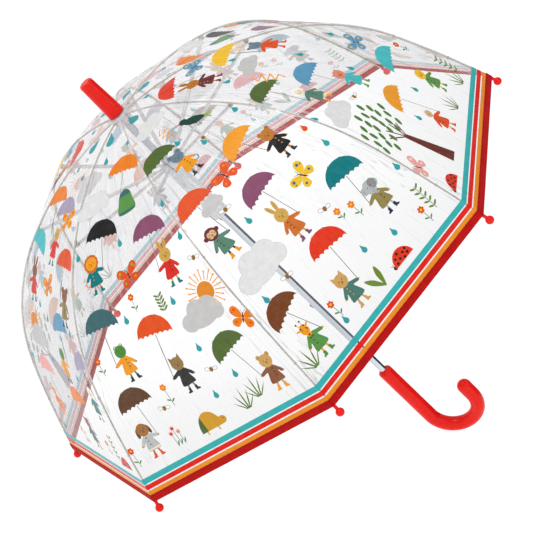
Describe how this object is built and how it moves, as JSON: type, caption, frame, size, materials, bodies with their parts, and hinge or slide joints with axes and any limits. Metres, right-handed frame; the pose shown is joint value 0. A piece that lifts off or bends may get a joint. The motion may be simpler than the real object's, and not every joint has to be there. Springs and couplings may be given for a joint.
{
  "type": "umbrella",
  "caption": "Clear dome umbrella of child size, with a crook handle, a ball tip on each rib and printed film panels that fold as the runner slides down the shaft.",
  "frame": {"origin": "on the shaft axis where the hand closes round the straight grip, 41.8 mm above the crook", "axes": "+Z along the shaft towards the ferrule cap, +X the way the crook bends"},
  "size_m": [0.6584, 0.6584, 0.6896],
  "materials": {
    "shaft_steel": "bright plated tube",
    "red_handle": "glossy red",
    "red_cap": "glossy red",
    "red_tip": "glossy red",
    "washer_plastic": "pale grey",
    "crown_plastic": "pale grey",
    "wire_steel": "drawn wire",
    "spring_steel": "bent strip",
    "runner_plastic": "milky white",
    "rib_steel": "beige-grey coated rod",
    "stretcher_steel": "light grey",
    "clear_film": "clear, glossy, slightly milky"
  },
  "bodies": {
    "frame": {"shaft_tube": "shaft_steel", "handle": "red_handle", "ferrule_cap": "red_cap", "canopy_washer": "washer_plastic", "crown": "crown_plastic", "crown_wire": "wire_steel", "crown_rivet": "wire_steel"},
    "top_catch_body": {"top_catch": "spring_steel"},
    "bottom_catch_body": {"bottom_catch": "spring_steel"},
    "runner_body": {"runner": "runner_plastic", "runner_wire": "wire_steel"},
    "rib_body_1": {"rib_1": "rib_steel", "tip_1": "red_tip"},
    "stretcher_body_1": {"stretcher_1": "stretcher_steel", "rivet_1": "wire_steel"},
    "film_left_body_1": {"film_1_left": "clear_film"},
    "film_right_body_1": {"film_1_right": "clear_film"},
    "rib_body_2": {"rib_2": "rib_steel", "tip_2": "red_tip"},
    "stretcher_body_2": {"stretcher_2": "stretcher_steel", "rivet_2": "wire_steel"},
    "film_left_body_2": {"film_2_left": "clear_film"},
    "film_right_body_2": {"film_2_right": "clear_film"},
    "rib_body_3": {"rib_3": "rib_steel", "tip_3": "red_tip"},
    "stretcher_body_3": {"stretcher_3": "stretcher_steel", "rivet_3": "wire_steel"},
    "film_left_body_3": {"film_3_left": "clear_film"},
    "film_right_body_3": {"film_3_right": "clear_film"},
    "rib_body_4": {"rib_4": "rib_steel", "tip_4": "red_tip"},
    "stretcher_body_4": {"stretcher_4": "stretcher_steel", "rivet_4": "wire_steel"},
    "film_left_body_4": {"film_4_left": "clear_film"},
    "film_right_body_4": {"film_4_right": "clear_film"},
    "rib_body_5": {"rib_5": "rib_steel", "tip_5": "red_tip"},
    "stretcher_body_5": {"stretcher_5": "stretcher_steel", "rivet_5": "wire_steel"},
    "film_left_body_5": {"film_5_left": "clear_film"},
    "film_right_body_5": {"film_5_right": "clear_film"},
    "rib_body_6": {"rib_6": "rib_steel", "tip_6": "red_tip"},
    "stretcher_body_6": {"stretcher_6": "stretcher_steel", "rivet_6": "wire_steel"},
    "film_left_body_6": {"film_6_left": "clear_film"},
    "film_right_body_6": {"film_6_right": "clear_film"},
    "rib_body_7": {"rib_7": "rib_steel", "tip_7": "red_tip"},
    "stretcher_body_7": {"stretcher_7": "stretcher_steel", "rivet_7": "wire_steel"},
    "film_left_body_7": {"film_7_left": "clear_film"},
    "film_right_body_7": {"film_7_right": "clear_film"},
    "rib_body_8": {"rib_8": "rib_steel", "tip_8": "red_tip"},
    "stretcher_body_8": {"stretcher_8": "stretcher_steel", "rivet_8": "wire_steel"},
    "film_left_body_8": {"film_8_left": "clear_film"},
    "film_right_body_8": {"film_8_right": "clear_film"}
  },
  "joints": [
    {"name": "runner_slide", "type": "slide", "parent": "frame", "child": "runner_body", "axis": [0, 0, 1], "range_m": [-0.20441, 0]},
    {"name": "top_catch_push", "type": "slide", "parent": "frame", "child": "top_catch_body", "axis": [1, 0, 0], "range_m": [0, 0.0026], "stiffness_N_per_m": 600},
    {"name": "bottom_catch_push", "type": "slide", "parent": "frame", "child": "bottom_catch_body", "axis": [1, 0, 0], "range_m": [0, 0.0026], "stiffness_N_per_m": 600},
    {"name": "rib_hinge_1", "type": "hinge", "parent": "frame", "child": "rib_body_1", "pos_m": [0.00878, 0.00364, 0.5459], "axis": [-0.3827, 0.9239, 0], "range_deg": [-0.02, 48.92]},
    {"name": "stretcher_hinge_1", "type": "hinge", "parent": "runner_body", "child": "stretcher_body_1", "pos_m": [0.00878, 0.00364, 0.46], "axis": [-0.3827, 0.9239, 0], "range_deg": [-45.93, 0.02]},
    {"name": "film_fold_left_1", "type": "hinge", "parent": "rib_body_1", "child": "film_left_body_1", "pos_m": [0.00878, 0.00364, 0.5459], "axis": [0.7031, 0.2912, -0.6487], "range_deg": [-0.02, 65.02], "deforming": ["film_1_left"]},
    {"name": "film_fold_right_1", "type": "hinge", "parent": "rib_body_1", "child": "film_right_body_1", "pos_m": [0.00878, 0.00364, 0.5459], "axis": [0.7031, 0.2912, -0.6487], "range_deg": [-65.02, 0.02], "deforming": ["film_1_right"]},
    {"name": "rib_hinge_2", "type": "hinge", "parent": "frame", "child": "rib_body_2", "pos_m": [0.00364, 0.00878, 0.5459], "axis": [-0.9239, 0.3827, 0], "range_deg": [-0.02, 48.92]},
    {"name": "stretcher_hinge_2", "type": "hinge", "parent": "runner_body", "child": "stretcher_body_2", "pos_m": [0.00364, 0.00878, 0.46], "axis": [-0.9239, 0.3827, 0], "range_deg": [-45.93, 0.02]},
    {"name": "film_fold_left_2", "type": "hinge", "parent": "rib_body_2", "child": "film_left_body_2", "pos_m": [0.00364, 0.00878, 0.5459], "axis": [0.2912, 0.7031, -0.6487], "range_deg": [-0.02, 65.02], "deforming": ["film_2_left"]},
    {"name": "film_fold_right_2", "type": "hinge", "parent": "rib_body_2", "child": "film_right_body_2", "pos_m": [0.00364, 0.00878, 0.5459], "axis": [0.2912, 0.7031, -0.6487], "range_deg": [-65.02, 0.02], "deforming": ["film_2_right"]},
    {"name": "rib_hinge_3", "type": "hinge", "parent": "frame", "child": "rib_body_3", "pos_m": [-0.00364, 0.00878, 0.5459], "axis": [-0.9239, -0.3827, 0], "range_deg": [-0.02, 48.92]},
    {"name": "stretcher_hinge_3", "type": "hinge", "parent": "runner_body", "child": "stretcher_body_3", "pos_m": [-0.00364, 0.00878, 0.46], "axis": [-0.9239, -0.3827, 0], "range_deg": [-45.93, 0.02]},
    {"name": "film_fold_left_3", "type": "hinge", "parent": "rib_body_3", "child": "film_left_body_3", "pos_m": [-0.00364, 0.00878, 0.5459], "axis": [-0.2912, 0.7031, -0.6487], "range_deg": [-0.02, 65.02], "deforming": ["film_3_left"]},
    {"name": "film_fold_right_3", "type": "hinge", "parent": "rib_body_3", "child": "film_right_body_3", "pos_m": [-0.00364, 0.00878, 0.5459], "axis": [-0.2912, 0.7031, -0.6487], "range_deg": [-65.02, 0.02], "deforming": ["film_3_right"]},
    {"name": "rib_hinge_4", "type": "hinge", "parent": "frame", "child": "rib_body_4", "pos_m": [-0.00878, 0.00364, 0.5459], "axis": [-0.3827, -0.9239, 0], "range_deg": [-0.02, 48.92]},
    {"name": "stretcher_hinge_4", "type": "hinge", "parent": "runner_body", "child": "stretcher_body_4", "pos_m": [-0.00878, 0.00364, 0.46], "axis": [-0.3827, -0.9239, 0], "range_deg": [-45.93, 0.02]},
    {"name": "film_fold_left_4", "type": "hinge", "parent": "rib_body_4", "child": "film_left_body_4", "pos_m": [-0.00878, 0.00364, 0.5459], "axis": [-0.7031, 0.2912, -0.6487], "range_deg": [-0.02, 65.02], "deforming": ["film_4_left"]},
    {"name": "film_fold_right_4", "type": "hinge", "parent": "rib_body_4", "child": "film_right_body_4", "pos_m": [-0.00878, 0.00364, 0.5459], "axis": [-0.7031, 0.2912, -0.6487], "range_deg": [-65.02, 0.02], "deforming": ["film_4_right"]},
    {"name": "rib_hinge_5", "type": "hinge", "parent": "frame", "child": "rib_body_5", "pos_m": [-0.00878, -0.00364, 0.5459], "axis": [0.3827, -0.9239, 0], "range_deg": [-0.02, 48.92]},
    {"name": "stretcher_hinge_5", "type": "hinge", "parent": "runner_body", "child": "stretcher_body_5", "pos_m": [-0.00878, -0.00364, 0.46], "axis": [0.3827, -0.9239, 0], "range_deg": [-45.93, 0.02]},
    {"name": "film_fold_left_5", "type": "hinge", "parent": "rib_body_5", "child": "film_left_body_5", "pos_m": [-0.00878, -0.00364, 0.5459], "axis": [-0.7031, -0.2912, -0.6487], "range_deg": [-0.02, 65.02], "deforming": ["film_5_left"]},
    {"name": "film_fold_right_5", "type": "hinge", "parent": "rib_body_5", "child": "film_right_body_5", "pos_m": [-0.00878, -0.00364, 0.5459], "axis": [-0.7031, -0.2912, -0.6487], "range_deg": [-65.02, 0.02], "deforming": ["film_5_right"]},
    {"name": "rib_hinge_6", "type": "hinge", "parent": "frame", "child": "rib_body_6", "pos_m": [-0.00364, -0.00878, 0.5459], "axis": [0.9239, -0.3827, 0], "range_deg": [-0.02, 48.92]},
    {"name": "stretcher_hinge_6", "type": "hinge", "parent": "runner_body", "child": "stretcher_body_6", "pos_m": [-0.00364, -0.00878, 0.46], "axis": [0.9239, -0.3827, 0], "range_deg": [-45.93, 0.02]},
    {"name": "film_fold_left_6", "type": "hinge", "parent": "rib_body_6", "child": "film_left_body_6", "pos_m": [-0.00364, -0.00878, 0.5459], "axis": [-0.2912, -0.7031, -0.6487], "range_deg": [-0.02, 65.02], "deforming": ["film_6_left"]},
    {"name": "film_fold_right_6", "type": "hinge", "parent": "rib_body_6", "child": "film_right_body_6", "pos_m": [-0.00364, -0.00878, 0.5459], "axis": [-0.2912, -0.7031, -0.6487], "range_deg": [-65.02, 0.02], "deforming": ["film_6_right"]},
    {"name": "rib_hinge_7", "type": "hinge", "parent": "frame", "child": "rib_body_7", "pos_m": [0.00364, -0.00878, 0.5459], "axis": [0.9239, 0.3827, 0], "range_deg": [-0.02, 48.92]},
    {"name": "stretcher_hinge_7", "type": "hinge", "parent": "runner_body", "child": "stretcher_body_7", "pos_m": [0.00364, -0.00878, 0.46], "axis": [0.9239, 0.3827, 0], "range_deg": [-45.93, 0.02]},
    {"name": "film_fold_left_7", "type": "hinge", "parent": "rib_body_7", "child": "film_left_body_7", "pos_m": [0.00364, -0.00878, 0.5459], "axis": [0.2912, -0.7031, -0.6487], "range_deg": [-0.02, 65.02], "deforming": ["film_7_left"]},
    {"name": "film_fold_right_7", "type": "hinge", "parent": "rib_body_7", "child": "film_right_body_7", "pos_m": [0.00364, -0.00878, 0.5459], "axis": [0.2912, -0.7031, -0.6487], "range_deg": [-65.02, 0.02], "deforming": ["film_7_right"]},
    {"name": "rib_hinge_8", "type": "hinge", "parent": "frame", "child": "rib_body_8", "pos_m": [0.00878, -0.00364, 0.5459], "axis": [0.3827, 0.9239, 0], "range_deg": [-0.02, 48.92]},
    {"name": "stretcher_hinge_8", "type": "hinge", "parent": "runner_body", "child": "stretcher_body_8", "pos_m": [0.00878, -0.00364, 0.46], "axis": [0.3827, 0.9239, 0], "range_deg": [-45.93, 0.02]},
    {"name": "film_fold_left_8", "type": "hinge", "parent": "rib_body_8", "child": "film_left_body_8", "pos_m": [0.00878, -0.00364, 0.5459], "axis": [0.7031, -0.2912, -0.6487], "range_deg": [-0.02, 65.02], "deforming": ["film_8_left"]},
    {"name": "film_fold_right_8", "type": "hinge", "parent": "rib_body_8", "child": "film_right_body_8", "pos_m": [0.00878, -0.00364, 0.5459], "axis": [0.7031, -0.2912, -0.6487], "range_deg": [-65.02, 0.02], "deforming": ["film_8_right"]}
  ],
  "couplings": [
    {"joint": "film_fold_left_1", "follows": "runner_slide", "rad_per_m": -5.5499},
    {"joint": "film_fold_right_1", "follows": "runner_slide", "rad_per_m": 5.5499},
    {"joint": "rib_hinge_1", "follows": "runner_slide", "rad_per_m": -4.1754},
    {"joint": "stretcher_hinge_1", "follows": "runner_slide", "rad_per_m": 3.9197},
    {"joint": "film_fold_left_2", "follows": "runner_slide", "rad_per_m": -5.5499},
    {"joint": "film_fold_right_2", "follows": "runner_slide", "rad_per_m": 5.5499},
    {"joint": "rib_hinge_2", "follows": "runner_slide", "rad_per_m": -4.1754},
    {"joint": "stretcher_hinge_2", "follows": "runner_slide", "rad_per_m": 3.9197},
    {"joint": "film_fold_left_3", "follows": "runner_slide", "rad_per_m": -5.5499},
    {"joint": "film_fold_right_3", "follows": "runner_slide", "rad_per_m": 5.5499},
    {"joint": "rib_hinge_3", "follows": "runner_slide", "rad_per_m": -4.1754},
    {"joint": "stretcher_hinge_3", "follows": "runner_slide", "rad_per_m": 3.9197},
    {"joint": "film_fold_left_4", "follows": "runner_slide", "rad_per_m": -5.5499},
    {"joint": "film_fold_right_4", "follows": "runner_slide", "rad_per_m": 5.5499},
    {"joint": "rib_hinge_4", "follows": "runner_slide", "rad_per_m": -4.1754},
    {"joint": "stretcher_hinge_4", "follows": "runner_slide", "rad_per_m": 3.9197},
    {"joint": "film_fold_left_5", "follows": "runner_slide", "rad_per_m": -5.5499},
    {"joint": "film_fold_right_5", "follows": "runner_slide", "rad_per_m": 5.5499},
    {"joint": "rib_hinge_5", "follows": "runner_slide", "rad_per_m": -4.1754},
    {"joint": "stretcher_hinge_5", "follows": "runner_slide", "rad_per_m": 3.9197},
    {"joint": "film_fold_left_6", "follows": "runner_slide", "rad_per_m": -5.5499},
    {"joint": "film_fold_right_6", "follows": "runner_slide", "rad_per_m": 5.5499},
    {"joint": "rib_hinge_6", "follows": "runner_slide", "rad_per_m": -4.1754},
    {"joint": "stretcher_hinge_6", "follows": "runner_slide", "rad_per_m": 3.9197},
    {"joint": "film_fold_left_7", "follows": "runner_slide", "rad_per_m": -5.5499},
    {"joint": "film_fold_right_7", "follows": "runner_slide", "rad_per_m": 5.5499},
    {"joint": "rib_hinge_7", "follows": "runner_slide", "rad_per_m": -4.1754},
    {"joint": "stretcher_hinge_7", "follows": "runner_slide", "rad_per_m": 3.9197},
    {"joint": "film_fold_left_8", "follows": "runner_slide", "rad_per_m": -5.5499},
    {"joint": "film_fold_right_8", "follows": "runner_slide", "rad_per_m": 5.5499},
    {"joint": "rib_hinge_8", "follows": "runner_slide", "rad_per_m": -4.1754},
    {"joint": "stretcher_hinge_8", "follows": "runner_slide", "rad_per_m": 3.9197}
  ]
}
